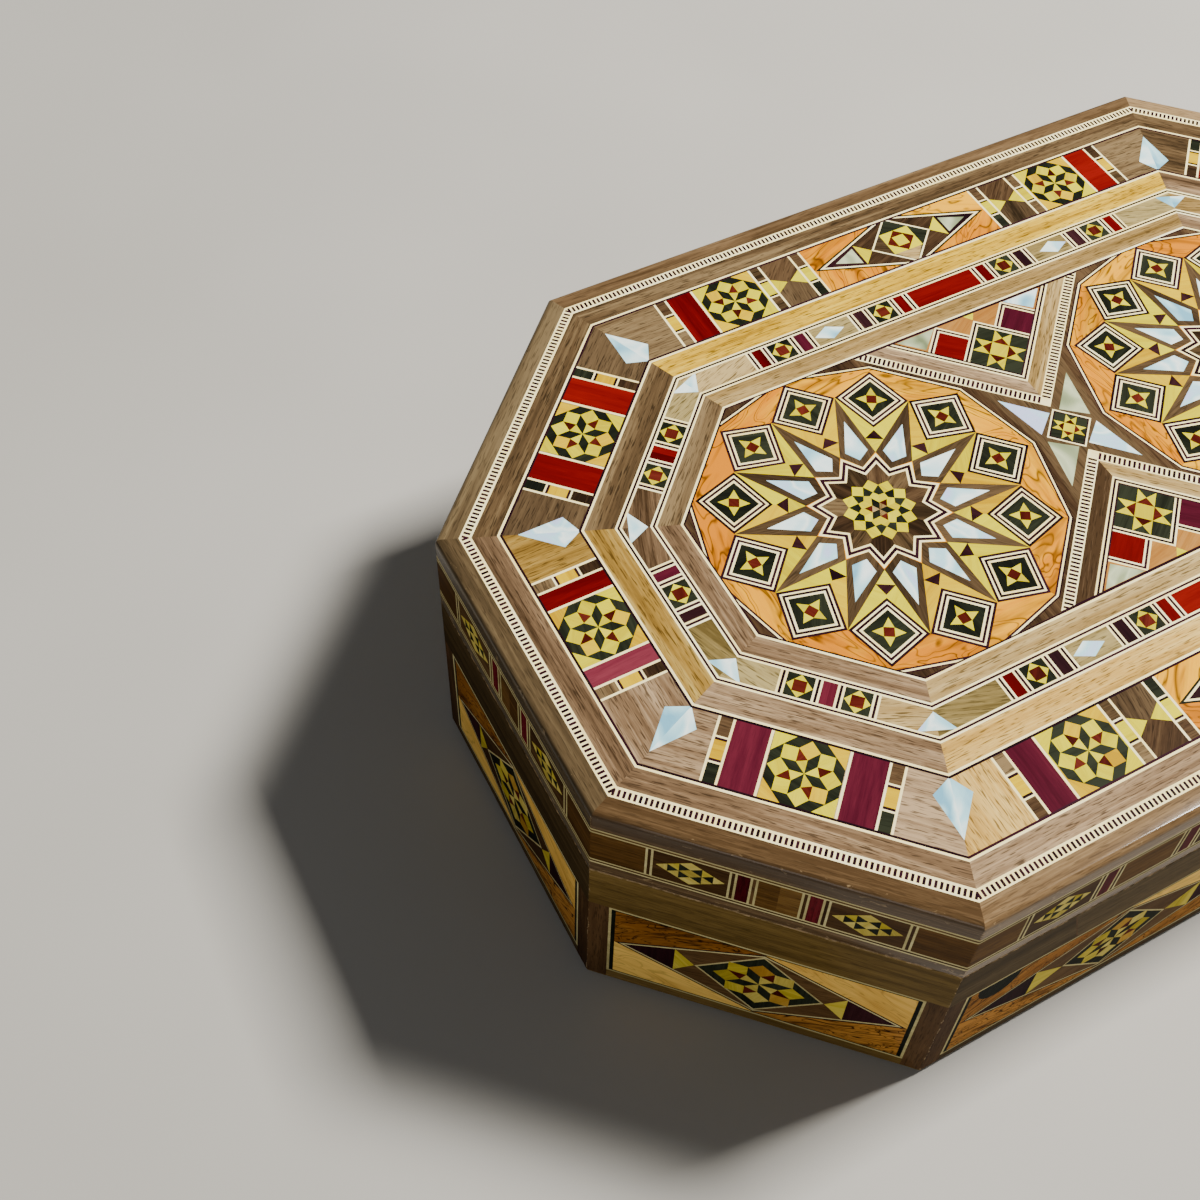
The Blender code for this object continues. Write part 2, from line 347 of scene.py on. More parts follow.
# The walls' rails and stiles, darker than the top's woods with painted shade of the upright walls. The rail
# walnut comes in two copies: a lighter one with painted light for the front left wall, and a darker one with
# painted shade for the other walls.
add_woods({
    "side_walnut": ((82, 64, 32), (114, 92, 50), (144, 120, 72)),
    "side_brown": ((46, 35, 20), (68, 54, 32), (92, 76, 50)),
    "side_stile": ((46, 31, 19), (66, 46, 28), (90, 66, 42)),
}, worn=True, across=1.3, coat=0.08)
# Woods of the walls' bands and panels, darker than the top's woods, with painted shade of the upright walls.
add_woods({
    "side_dark": ((51, 33, 17), (73, 51, 28), (96, 72, 44)),
    "side_maroon": ((52, 6, 12), (80, 12, 22), (104, 26, 34)),
    "lid_band_walnut": ((64, 42, 18), (92, 64, 30), (118, 88, 46)),
}, coat=0.08)
add_woods({"inside": ((92, 66, 46), (126, 95, 68), (154, 122, 90))}, coat=0.1, from_object=True)

# The small tiles and dark lines. Those on the sides are duller and darker, with painted shade of the upright
# walls, and some of them paler.
TILES = {
    "line": ((20, 7, 14), (34, 12, 22), (48, 20, 32)),
    "black": ((16, 18, 13), (27, 30, 21), (42, 46, 34)),
    "yellow": ((184, 166, 0), (204, 192, 0), (216, 206, 4)),
    "amber": ((178, 138, 0), (202, 166, 0), (214, 182, 6)),
    "pale": ((186, 170, 8), (204, 192, 20), (218, 206, 40)),
    "brick": ((48, 10, 6), (72, 20, 13), (94, 34, 24)),
    "plum": ((24, 9, 14), (38, 16, 21), (54, 28, 32)),
}
SIDE_TILES = {
    **TILES,
    "yellow": ((150, 132, 30), (178, 160, 50), (200, 182, 76)),
    "amber": ((150, 108, 34), (172, 132, 48), (190, 152, 66)),
    "pale": ((164, 146, 60), (190, 172, 82), (208, 192, 108)),
}
add_woods(TILES, pores=0.1, tones=0.4)
add_woods({"side_" + tile: tones for tile, tones in SIDE_TILES.items()}, pores=0.15, tones=0.4, coat=0.06)


# Flat patterns

def edges(points):
    return list(zip(points, points[1:] + points[:1]))


def area(points):
    return 0.5 * sum(p[0] * q[1] - q[0] * p[1] for p, q in edges(points))


def solid(points):
    return len(points) > 2 and area(points) > EPS


def corner_order(points):
    """The outline turned counter-clockwise."""
    return points if area(points) > 0 else points[::-1]


def extent(points):
    xs = [p[0] for p in points]
    ys = [p[1] for p in points]
    return min(xs), min(ys), max(xs), max(ys)


def split(points, start, end):
    """Cuts a convex outline along a line: what lies left of it, and what lies right of it."""
    length = math.dist(start, end)
    normal = ((start[1] - end[1]) / length, (end[0] - start[0]) / length)
    away = [normal[0] * (p[0] - start[0]) + normal[1] * (p[1] - start[1]) for p in points]
    left, right = [], []
    for (p, q), (a, b) in zip(edges(points), edges(away)):
        if a >= -EPS:
            left.append(p)
        if a <= EPS:
            right.append(p)
        if (a > EPS and b < -EPS) or (a < -EPS and b > EPS):
            share = a / (a - b)
            crossing = (p[0] + share * (q[0] - p[0]), p[1] + share * (q[1] - p[1]))
            left.append(crossing)
            right.append(crossing)
    return left, right


def inset(points, distance):
    """A convex outline with each edge moved inwards."""
    points = corner_order(points)
    shrunk = list(points)
    for (x0, y0), (x1, y1) in edges(points):
        length = math.hypot(x1 - x0, y1 - y0)
        dx, dy = -(y1 - y0) / length * distance, (x1 - x0) / length * distance
        if solid(shrunk):
            shrunk = split(shrunk, (x0 + dx, y0 + dy), (x1 + dx, y1 + dy))[0]
    return shrunk


def cut_mark(kind, angle=None, tone=None):
    """What a piece of veneer is: its wood, the way its grain runs, where in the log it was cut, its tone."""
    if angle is None:
        angle = chance.uniform(0, 180)
    offset = (chance.uniform(-400, 400), chance.uniform(-400, 400), chance.uniform(-400, 400))
    drawn = chance.random()
    return kind, math.radians(angle), offset, drawn if tone is None else tone


class Inlay:
    """A flat pattern. Each piece laid on it cuts away what lay there before, so all stay flush."""

    def __init__(self, parts, kind, angle=0.0, tone=None):
        self.parts = [corner_order(list(part)) for part in parts]
        mark = cut_mark(kind, angle, tone)
        self.cells = [(part, extent(part), mark) for part in self.parts]

    def lay(self, points, kind, angle=None):
        mark = cut_mark(kind, angle)
        for part in self.parts:
            piece = corner_order(list(points))
            for start, end in edges(part):
                piece = split(piece, start, end)[0]
                if not solid(piece):
                    break
            else:
                self.cut_in(piece, mark)

    def cut_in(self, piece, mark):
        box = extent(piece)
        kept = []
        for cell in self.cells:
            outline, around, cell_mark = cell
            rest, outside = outline, []
            if around[0] > box[2] or around[2] < box[0] or around[1] > box[3] or around[3] < box[1]:
                rest = []
            for start, end in edges(piece) if rest else ():
                if solid(rest):
                    rest, beyond = split(rest, start, end)
                    outside += [beyond] if solid(beyond) else []
            if solid(rest):
                kept += [(shape, extent(shape), cell_mark) for shape in outside]
            else:
                kept.append(cell)
        self.cells = kept + [(piece, box, mark)]

    def cut(self, start, end):
        """Parts every cell along a line, so that the plate can bend there."""
        halves = [(half, mark) for outline, _, mark in self.cells for half in split(outline, start, end)]
        self.cells = [(half, extent(half), mark) for half, mark in halves if solid(half)]

    def box(self, low, high, bottom, top, kind, angle=None):
        """Lays a rectangle between two places along and two places up, each pair in either order."""
        low, high = sorted((low, high))
        bottom, top = sorted((bottom, top))
        self.lay(oblong(low, high, bottom, top), kind, angle)

    def bordered(self, points, borders, kind, angle=None):
        """Lays nested outlines: each border as (width, wood), then the middle. Gives the middle's outline."""
        for width, border in borders:
            self.lay(points, border)
            points = inset(points, width)
        self.lay(points, kind, angle)
        return points

    def lines(self, half, level, way, lines):
        """Lays lines along the plate, one beside another from a level, each as (width, wood)."""
        for width, kind in lines:
            self.box(-half, half, level, level + way * width, kind, 0)
            level += way * width

    def row(self, start, way, bottom, top, steps, gap=()):
        """Lays upright pieces one after another from start, each as (width, wood or pattern, grain), and the
        pieces of gap after each of them."""
        for width, kind, *angle in [piece for step in steps for piece in (step, *gap)]:
            end = start + way * width
            if callable(kind):
                kind(self, *sorted((start, end)), bottom, top)
            elif kind:
                self.box(start, end, bottom, top, kind, *angle)
            start = end
        return start


def polar(radius, degrees):
    return radius * math.cos(math.radians(degrees)), radius * math.sin(math.radians(degrees))


def spot(x, y, turn=0.0):
    """A place on the plate: gives the plate's coordinates of a pattern's own points."""
    c, s = polar(1, turn)

    def put(*points):
        return [(x + c * px - s * py, y + s * px + c * py) for px, py in points]
    return put


def oblong(low, high, bottom, top):
    return [(low, bottom), (high, bottom), (high, top), (low, top)]


def diamond(half_width, half_height=None):
    half_height = half_height or half_width
    return (half_width, 0), (0, half_height), (-half_width, 0), (0, -half_height)


def square(half_width, half_height=None):
    half_height = half_height or half_width
    return ((half_width, half_height), (-half_width, half_height), (-half_width, -half_height),
            (half_width, -half_height))


def spike(tip, base, half):
    return (tip, 0), (base, half), (base, -half)


def quarter(x, y):
    return (0, 0), (x, 0), (x, y), (0, y)


# Tile patterns

def rosette(inlay, put, reach, turned=0):
    """Eight yellow squares in a ring round a pinwheel. The reach is from the middle to a square's outer
    corner, and turned is 1 where the red triangles sit between the next pairs of squares."""
    centre = reach / (1 + MITRE)
    half = centre * MITRE
    inner = centre - half
    meeting = centre / math.cos(math.radians(HALF_TURN))
    for index, kind in enumerate(("yellow", "pale", "amber", "yellow", "yellow", "yellow", "pale", "amber")):
        angle = 45 * index
        near, far = polar(inner, angle), polar(centre + half, angle)
        before, after = polar(meeting, angle - HALF_TURN), polar(meeting, angle + HALF_TURN)
        inlay.lay(put(far, after, near, before), kind)
        if index % 2 == 1 - turned:
            following = polar(inner, angle + 45)
            inlay.lay(put(near, after, following), "brick")
            inlay.lay(put((0, 0), near, following), "pale")


def rosette_tile(inlay, low, high, bottom, top, turned=0):
    """The square tile of the wide band: a rosette in a black eight-sided field, yellow at the corners."""
    put = spot((low + high) / 2, (bottom + top) / 2)
    half = (top - bottom) / 2
    wide = (high - low) / 2
    for x, y in square(1):
        inlay.lay(put(*quarter(x * wide, y * half)), "amber" if x == y else "yellow")
    field = [polar(half / math.cos(math.radians(HALF_TURN)), HALF_TURN + 45 * index) for index in range(8)]
    inlay.lay(put(*field), "black")
    rosette(inlay, put, half - 0.1, turned)


def small_tile(inlay, low, high, bottom, top):
    """The tile of the narrow band: a red square in a yellow diamond on black."""
    put = spot((low + high) / 2, (bottom + top) / 2)
    half = min(high - low, top - bottom) / 2
    inlay.box(low, high, bottom, top, "black")
    inlay.lay(put(*diamond(half * 0.97)), "pale")
    inlay.lay(put(*square(half * 0.49)), "brick")


def checker_tile(inlay, put, half):
    """A square of three by three cells: black corners, yellow in the middle, star points on the edges."""
    cell = half * 2 / 3
    near = cell / 2
    inlay.lay(put(*square(half)), "black")
    inlay.lay(put(*square(near)), "pale")
    for turn in range(0, 360, 90):
        for kind, *points in (("brick", (near, -near), (cell, 0), (near, near)),
                              ("yellow", (near, -near), (half, -near), (cell, 0)),
                              ("pale", (near, near), (cell, 0), (half, near))):
            inlay.lay(put(*spot(0, 0, turn)(*points)), kind)


# How far the yellow block, the dark line and the cream line of a ladder strip reach from its middle
LADDER_REACHES = (0.0, 2.25, 2.85, 3.3)


def ladder(first, second):
    """An upright strip between cream lines: a yellow block in the middle and a block on either side."""
    def lay(inlay, low, high, bottom, top):
        inlay.box(low, high, bottom, top, "cream", 90)
        for way, kind, end in ((-1, first, bottom), (1, second, top)):
            places = [(bottom + top) / 2 + way * reach for reach in LADDER_REACHES] + [end]
            for near, far, piece in zip(places, places[1:], ("amber", "line", "cream", kind)):
                inlay.box(low + CREAM, high - CREAM, near, far, piece, 0)
    return lay


def shell_kite(inlay, side, way, start, length):
    """A kite of shell on the mitre at one end of a side, its tip towards the outer corner."""
    put = spot(way * (HALF[side] - start * MITRE), start, 90 + way * HALF_TURN)
    widest, half = length * 0.75, 4.25
    inlay.lay(put((length * 0.19, 0), (widest, half), (length * 0.95, 0), (widest, -half)), "shell")


def lozenge_motif(inlay, low, high, bottom, top):
    """The small picture of the lid's side: a lozenge of yellow rhombs and black triangles on walnut."""
    inlay.box(low, high, bottom, top, "side_dark", 0)
    put = spot((low + high) / 2, (bottom + top) / 2)
    tall = (top - bottom) / 2 * 0.84
    step, wide = tall / 3, 2.45
    for way in (-1, 1):
        near, far, tip = way * wide, way * wide * 2, way * wide * 3
        inlay.lay(put((near, step * 2), (near, 0), (far, step)), "yellow")
        inlay.lay(put((near, -step * 2), (near, 0), (far, -step)), "pale")
        inlay.lay(put(*spike(near, far, step)), "black")
        inlay.lay(put((far, step), (far, -step), (tip, 0)), "pale")
    inlay.lay(put((-wide, step * 2), (0, tall), (wide, step * 2), (wide, -step * 2), (0, -tall),
                  (-wide, -step * 2)), "black")
    for level in (-2 * step, 0, 2 * step):
        inlay.lay(put((-wide, level), (0, level - step), (wide, level), (0, level + step)), "pale")


# Plan of the box: its corners, and the place of a point given along a side and inwards from its outer face

def ring_corners(x, y, cut):
    return [(x - cut, -y), (x, -y + cut), (x, y - cut), (x - cut, y),
            (-x + cut, y), (-x, y - cut), (-x, -y + cut), (-x + cut, -y)]


SIDE_ENDS = {name: (Vector(start), Vector(end)) for name, (start, end)
             in zip(SIDES, edges(ring_corners(HALF_LENGTH, HALF_WIDTH, CORNER_CUT)))}
HALF = {name: (end - start).length / 2 for name, (start, end) in SIDE_ENDS.items()}


def on_side(side, along, inwards, height):
    """The point in the row frame, in metres."""
    start, end = SIDE_ENDS[side]
    way = (end - start).normalized()
    place = (start + end) / 2 + way * along + Vector((-way.y, way.x)) * inwards
    return Vector((place.x, place.y, height)) * MM


def strip(side, near, far):
    """The part of a ring that lies along one side, cut on the mitres."""
    a, b = HALF[side] - near * MITRE, HALF[side] - far * MITRE
    return [(-a, near), (a, near), (b, far), (-b, far)]


def corner_station(half, inwards, share):
    """A point of the plan at a side's end: share 0 is where the rounded corner starts, 1 is the mitre."""
    if inwards >= CORNER_EASE:
        return half - inwards * MITRE, inwards
    angle = math.radians(HALF_TURN * share)
    radius = CORNER_EASE - inwards
    return half - CORNER_EASE * MITRE + radius * math.sin(angle), CORNER_EASE - radius * math.cos(angle)


# Building pieces

def round_off(point):
    return round(point[0], 3), round(point[1], 3)


class Piece:
    """A mesh in the making: faces, each with its veneer's mark. A dull piece has the woods of the sides,
    which are darker than the top's with painted shade of the upright walls.
    """

    def __init__(self, dull_and_shaded=False):
        self.dull_and_shaded = dull_and_shaded
        self.points = []
        self.faces = []
        self.marks = []
        self.grain = []
        self.wear = []

    def face(self, corners, mark, flat, wear=None):
        """A face with its corners in space, and the same corners flat in the plane of its veneer."""
        first = len(self.points)
        self.points += corners
        self.faces.append(list(range(first, first + len(corners))))
        kind, angle, offset, tone = mark
        if self.dull_and_shaded and "side_" + kind in WOODS:
            kind = "side_" + kind
        self.marks.append((kind, tone))
        c, s = math.cos(angle), math.sin(angle)
        for x, y in flat:
            self.grain += (c * x + s * y + offset[0], c * y - s * x + offset[1], offset[2])
        self.wear += wear or [0.0] * len(corners)

    def inlay(self, inlay, place, wear=None):
        """The shown faces of a pattern; place takes a point of it and how deep it lies."""
        for outline, _, mark in inlay.cells:
            if mark[0] != "hole":
                self.face([place(*p) for p in outline], mark, outline, wear and [wear(*p) for p in outline])

    def plate(self, inlay, place, back=None):
        """A pattern with the edges and back of its plate, of a given wood or of the pattern's first piece."""
        self.inlay(inlay, place)
        mark = cut_mark(back, 0) if back else inlay.cells[0][2]
        sides = [side for outline in inlay.parts for side in edges(outline)]
        shared = {(round_off(q), round_off(p)) for p, q in sides}
        for p, q in sides:
            if (round_off(p), round_off(q)) not in shared:
                length = math.dist(p, q)
                self.face([place(*p, PLATE), place(*q, PLATE), place(*q, 0), place(*p, 0)], mark,
                          [(0, 0), (length, 0), (length, PLATE), (0, PLATE)])
        for outline in inlay.parts:
            self.face([place(*p, PLATE) for p in outline[::-1]], mark, outline[::-1])

    def build(self, node, smooth=False):
        """Makes the object that takes the place of one node."""
        mesh = bpy.data.meshes.new(node + "_shown")
        mesh.from_pydata(self.points, [], self.faces)
        kinds = sorted({kind for kind, _ in self.marks})
        for kind in kinds:
            mesh.materials.append(WOODS[kind])
        mesh.polygons.foreach_set("material_index", [kinds.index(kind) for kind, _ in self.marks])
        mesh.attributes.new("grain", "FLOAT_VECTOR", "CORNER").data.foreach_set("vector", self.grain)
        tones = [tone for _, tone in self.marks]
        mesh.attributes.new("tone", "FLOAT", "FACE").data.foreach_set("value", tones)
        mesh.attributes.new("wear", "FLOAT", "CORNER").data.foreach_set("value", self.wear)
        mesh.update()
        if smooth:
            work = bmesh.new()
            work.from_mesh(mesh)
            bmesh.ops.remove_doubles(work, verts=work.verts, dist=MERGE * MM)
            work.to_mesh(mesh)
            work.free()
            mesh.polygons.foreach_set("use_smooth", [True] * len(mesh.polygons))
            mesh.set_sharp_from_angle(angle=math.radians(20))
        piece = bpy.data.objects.new(node + "_shown", mesh)
        bpy.context.scene.collection.objects.link(piece)
        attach(piece, "root")
        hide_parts(node)


def build_plate(node, inlay, place, back, dull_and_shaded=False):
    plate = Piece(dull_and_shaded)
    plate.plate(inlay, place, back)
    plate.build(node)


def arc(inwards, height, radius, start, steps):
    """Points of a quarter circle from the start angle, clockwise, as (inwards, height)."""
    points = []
    for step in range(steps + 1):
        x, y = polar(radius, start - 90 * step / steps)
        points.append((inwards + x, height + y))
    return points


def swept_wall(piece, side, section, mark, left_out=None):
    """A board along one side with a section given as (inwards, height), rounded at the box's corners.
    The stretch of the section numbered left_out is not made, for a pattern to go there."""
    half = HALF[side]
    run = 0.0
    shares = [1 - step / CORNER_STEPS for step in range(CORNER_STEPS + 1)]

    def stations(inwards):
        ends = [corner_station(half, inwards, share) for share in shares]
        return [(-u, d) for u, d in ends] + ends[::-1]

    for stretch, ((near, low), (far, high)) in enumerate(edges(section)):
        length = math.hypot(far - near, high - low)
        first, second = stations(near), stations(far)
        for index in range(0 if stretch == left_out else len(first) - 1):
            quad = [(*first[index], low, run), (*first[index + 1], low, run),
                    (*second[index + 1], high, run + length), (*second[index], high, run + length)]
            kept = [p for before, p in edges(quad[-1:] + quad[:-1]) if math.dist(before[:3], p[:3]) > MERGE]
            if len(kept) > 2:
                piece.face([on_side(side, u, d, z) for u, d, z, _ in kept], mark,
                           [(u, across) for u, d, z, across in kept],
                           [edge_wear(side, u, d, z) for u, d, z, _ in kept])
        run += length
    for way in (-1, 1):
        outline = []
        for inwards, height in section[::-way]:
            u, d = corner_station(half, inwards, 1)
            outline.append((way * u, d, height))
        piece.face([on_side(side, *p) for p in outline], mark, [(d, z) for u, d, z in outline])


def edge_wear(side, u, d, z):
    """How worn a point of the walls is, from 0 to 1: along the seam, the corners and the foot."""
    if d > WEAR_DEPTH:
        return 0.0
    seam = max(0.0, 1 - min(abs(z - RIM), abs(z - LID_LOW)) / SEAM_WEAR)
    corner = max(0.0, 1 - (HALF[side] - abs(u)) / CORNER_WEAR) * 0.75
    foot = max(0.0, 1 - z / FOOT_WEAR) * 0.5
    return max(seam, corner, foot)


def bend(side):
    """Places a point of a pattern that runs on round the box's corners: along the face, and up."""
    flat_half = HALF[side] - CORNER_EASE * MITRE
    arc_length = CORNER_EASE * math.radians(HALF_TURN)

    def place(u, z, depth=0.0):
        over = abs(u) - flat_half
        if over <= 0:
            return on_side(side, u, depth, z)
        x, d = corner_station(HALF[side], depth, min(1.0, over / arc_length))
        return on_side(side, math.copysign(x, u), d, z)
    return place, flat_half, flat_half + arc_length


def cut_bends(inlay, flat_half, full_half):
    """Parts the pattern at each step of the box's rounded corners."""
    for step in range(CORNER_STEPS):
        u = flat_half + (full_half - flat_half) * step / CORNER_STEPS
        inlay.cut((u, 0), (u, 1))
        inlay.cut((-u, 0), (-u, 1))


# The body's walls and panels

BODY_SECTION = (arc(BOTTOM_ROUND, BOTTOM_ROUND, BOTTOM_ROUND, 270, ARC_STEPS)
                + arc(RIM_EASE, RIM - RIM_EASE, RIM_EASE, 180, EASE_STEPS)
                + [(LIP_START, RIM), (LIP_START, LIP_TOP), (BODY_WALL, LIP_TOP), (BODY_WALL, 0.0)])
FACE_LOW, FACE_HIGH = BODY_SECTION[ARC_STEPS][1], BODY_SECTION[ARC_STEPS + 1][1]


def panel_half_length(side):
    return HALF[side] - STILE - GAP / 2


def body_wall(side):
    """One wall of the body: rails and stiles round the recess for its panel."""
    wall = Piece()
    # The front left wall's rails get the lighter walnut copy with painted light; the other walls get the
    # darker copy with painted shade.
    rail = "side_walnut" if side == "front_left" else "side_brown"
    mark = cut_mark(rail, 0)
    swept_wall(wall, side, BODY_SECTION, mark, ARC_STEPS)
    place, flat_half, full_half = bend(side)
    panel_half = panel_half_length(side)
    face = Inlay([oblong(-full_half, full_half, FACE_LOW, FACE_HIGH)], rail, 0)
    face.box(-full_half, full_half, PANEL_HIGH, FACE_HIGH, rail, 0)
    if side == "front":
        joint = JOINT_FROM_CORNER - HALF[side]
        for start, kind in ((joint, "side_stile"), (joint + JOINT_WIDTH, rail)):
            face.lay([(start + JOINT_LEAN, PANEL_HIGH), (full_half, PANEL_HIGH), (full_half, FACE_HIGH),
                      (start, FACE_HIGH)], kind, 0)
    for way in (-1, 1):
        face.box(way * panel_half, way * full_half, FACE_LOW, PANEL_HIGH, "side_stile", 90)
    face.box(-panel_half, panel_half, PANEL_LOW, PANEL_HIGH, "hole")
    cut_bends(face, flat_half, full_half)
    for u in (HALF[side] - WORN_STRIP, WORN_STRIP - HALF[side]):
        face.cut((u, 0), (u, 1))
    face.cut((0, FACE_HIGH - WORN_RIM), (1, FACE_HIGH - WORN_RIM))
    wall.inlay(face, place, lambda u, z: edge_wear(side, u, 0, z))
    opening = oblong(-panel_half, panel_half, PANEL_LOW, PANEL_HIGH)
    for p, q in edges(opening):
        wall.face([place(*p, 0), place(*q, 0), place(*q, PLATE), place(*p, PLATE)], mark, [p, q, q, p])
    wall.face([place(*p, PLATE) for p in opening], mark, opening)
    wall.build("body_wall_" + side, True)


def panel_motif(inlay, low, high, bottom, top, woods, patched=False):
    """A lozenge from end to end with a black diamond in its middle that holds a rosette. One has a patch."""
    middle, level = (low + high) / 2, (bottom + top) / 2
    put = spot(middle, level)
    wide, tall = (high - low) / 2, (top - bottom) / 2
    for kind, x, y, angle in zip(woods, (-1, 1, -1, 1), (1, 1, -1, -1), (30, 150, 165, 25)):
        inlay.lay(put(*quarter(x * wide, y * tall)), kind, angle)
    inner = inlay.bordered(put(*diamond(wide, tall)), ((0.5, "line"), (0.5, "grey_line")), "side_dark", 10)
    reach, depth = max(p[0] for p in inner) - middle, max(p[1] for p in inner) - level
    half = tall * 0.90
    for way in (-1, 1):
        base, apex = way * (half + reach) / 2 * 0.86, way * (half + 0.6)
        rise = depth * (1 - abs(base) / reach)
        inlay.lay(put(*spike(way * reach, base, rise)), "plum", 90)
        inlay.lay(put((base, rise), (base, -rise), (apex, 0)), "yellow")
    inlay.bordered(put(*diamond(half + 0.5, depth)), ((0.5, "grey_line"),), "black")
    rosette(inlay, put, tall * 0.66)
    if patched:
        arch = [polar(1, 180 + 180 * step / ARC_STEPS) for step in range(ARC_STEPS + 1)]
        inlay.lay([(low + PATCH_FROM_END + PATCH_HALF * x, top + PATCH_DEPTH * y) for x, y in arch], "black")


def body_panel(side):
    """The inlaid panel of one wall: two pictures side by side on a long side, one on a short side."""
    half = panel_half_length(side)
    place = bend(side)[0]
    panel = Inlay([oblong(-half, half, PANEL_LOW, PANEL_HIGH)], "cream", 0)
    panel.box(-half, half, PANEL_LOW, PANEL_HIGH, "grey_line", 0)
    half -= PANEL_EDGE
    bottom, top = PANEL_LOW + PANEL_EDGE, PANEL_HIGH - PANEL_EDGE
    panel.box(-half, half, bottom, top, "black", 0)
    half, bottom, top = half - 0.95, bottom + 0.4, top - 0.4
    if side in LONG_SIDES:
        panel_motif(panel, -half, 0.0, bottom, top, ("side_olive", "blond", "side_olive", "side_olive"),
                    side == "front")
        panel_motif(panel, 0.0, half, bottom, top, ("blond", "side_olive", "side_olive", "side_olive"))
    else:
        panel_motif(panel, -half, half, bottom, top, ("side_olive", "blond", "blond", "side_olive"))
    build_plate("body_panel_" + side, panel, place, "side_walnut", True)


# The lid's walls and bands

LID_SECTION = (arc(RIM_EASE, LID_LOW + RIM_EASE, RIM_EASE, 270, EASE_STEPS)
               + [(0.0, BAND_LOW), (PLATE, BAND_LOW), (PLATE, BAND_HIGH), (0.0, BAND_HIGH)]
               + arc(TOP_ROUND, TOP - TOP_ROUND, TOP_ROUND, 180, ARC_STEPS)
               + [(LID_WALL, TOP), (LID_WALL, LID_LOW)])


def lid_wall(side):
    wall = Piece()
    # The walls at the left end and back left get the darker walnut copy, with painted shade.
    mark = cut_mark("lid_brown" if side in ("end_left", "back_left") else "lid_walnut", 0)
    swept_wall(wall, side, LID_SECTION, mark)
    wall.build("lid_wall_" + side, True)


def lid_band(side):
    """The inlaid band round one side of the lid: small pictures and dark red blocks between double lines."""
    place, flat_half, full_half = bend(side)
    wood_end = ("lid_band_walnut", 0)
    band = Inlay([oblong(-full_half, full_half, BAND_LOW, BAND_HIGH)], *wood_end)
    bottom, top = BAND_LOW + DOUBLE, BAND_HIGH - DOUBLE
    double = (0.5, "grey_line"), (DOUBLE - 1.0, "side_dark"), (0.5, "grey_line")
    if side in LONG_SIDES:
        block = (3.0, "side_maroon", 90)
        steps = ((11.0, *wood_end), (2.9, "side_maroon", 90), (17.0, lozenge_motif), block, (15.4, *wood_end),
                 block, (17.0, lozenge_motif))
    else:
        middle = 4.2 if side in END_SIDES else 4.5
        steps = ((middle, *wood_end), (2.7, "side_maroon", 90), (16.0, lozenge_motif))
    for way in (-1, 1):
        end = band.row(0.0, way, bottom, top, steps, double)
        band.box(end, way * full_half, bottom, top, *wood_end)
    band.lines(full_half, BAND_LOW, 1, double)
    band.lines(full_half, BAND_HIGH, -1, double)
    cut_bends(band, flat_half, full_half)
    build_plate("lid_band_" + side, band, place, "lid_band_walnut", True)


# The rings of the top

def on_top(side):
    def place(u, v, depth=0.0):
        return on_side(side, u, v, TOP - depth)
    return place


def plain_ring(name, near, far, kinds, tones, lines=()):
    """A ring of plain wood, mitred at the corners, with lines of veneer along its inner edge."""
    ring = Piece()
    for side in SIDES:
        inlay = Inlay([strip(side, near, far)], kinds.get(side, kinds["rest"]), 0, tones.get(side, 0.5))
        inlay.lines(HALF[side], far - sum(width for width, _ in lines), 1, lines)
        ring.plate(inlay, on_top(side))
    ring.build(name)


def dentil_ring():
    """The cream ring with dark teeth all along it, between two cream lines."""
    ring = Piece()
    outer_line, inner_line = 0.42, 0.55
    low, high = DENTIL_AT + outer_line, OUTER_WALNUT_AT - inner_line
    for side in SIDES:
        inlay = Inlay([strip(side, DENTIL_AT, OUTER_WALNUT_AT)], "cream", 0)
        inlay.box(-HALF[side], HALF[side], low, high, "cream", 90)
        half = HALF[side] - low * MITRE
        count = round(2 * half / TOOTH_PITCH)
        for index in range(count):
            middle = (index + 0.5) * 2 * half / count - half
            inlay.box(middle - TOOTH / 2, middle + TOOTH / 2, low, high, "line", 90)
        ring.plate(inlay, on_top(side))
    ring.build("dentil_band")


# What each side of the wide band is made of: the blocks beside the tiles, the corner pieces at both ends
BLOCKS = {
    "front": ("maroon", "maroon"), "back": ("red", "crimson"), "end_left": ("crimson", "wine"),
    "end_right": ("wine", "crimson"), "front_left": ("maroon", "maroon"), "back_left": ("red", "red"),
    "front_right": ("maroon", "maroon"), "back_right": ("crimson", "red"),
}
CORNER_WOODS = {
    "front": ("fawn", "walnut"), "back": ("brown_walnut", "brown_walnut"),
    "end_left": ("brown_gold", "walnut"), "end_right": ("walnut", "golden"),
    "front_left": ("walnut", "walnut"), "back_left": ("umber", "umber"),
    "front_right": ("walnut", "walnut"), "back_right": ("golden", "brown_walnut"),
}
ACROSS_THE_GRAIN = ("fawn", "brown_gold", "golden")
# Sides whose rosettes are turned by one square, and how far the picture lies off the side's middle
TURNED = ("end_left", "front_left", "front", "end_right")
PICTURE_SHIFT = {"end_left": -0.8, "front_left": -1.2}
# Half the length of the olive wood that holds the long picture
LONG_PICTURE_HALF = 27.0


